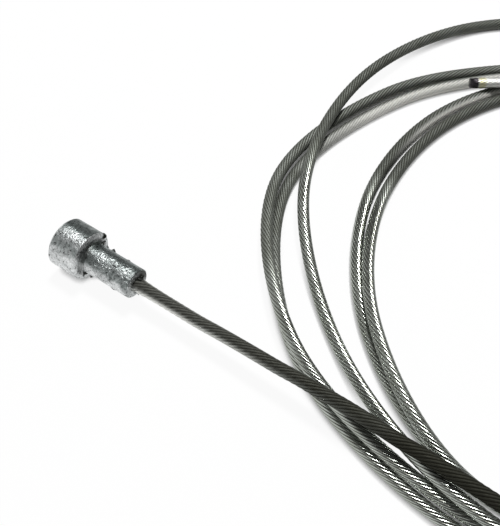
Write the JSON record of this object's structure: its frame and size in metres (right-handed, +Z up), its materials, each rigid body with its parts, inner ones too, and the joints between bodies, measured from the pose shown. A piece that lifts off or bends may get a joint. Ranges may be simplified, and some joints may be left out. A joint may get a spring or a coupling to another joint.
{
  "type": "bicycle brake inner cable",
  "caption": "Loosely coiled steel strand with a die-cast stepped head on one end and a bare fused tip on the other, which pulls a bicycle brake.",
  "frame": {"origin": "on the table, below the middle of the box around the whole cable", "axes": "+Z up from the table, +X from the head towards the coil, +Y away from the viewer of the picture"},
  "size_m": [0.1114, 0.088, 0.0064],
  "materials": {
    "zinc": "as-cast zinc alloy, mottled silver grey with small pits and flash",
    "steel": "bright drawn steel wires under a thin film of oil"
  },
  "bodies": {
    "root": {"cast_head": "zinc", "strand_lead": "steel", "strand_coil": "steel"}
  },
  "joints": []
}
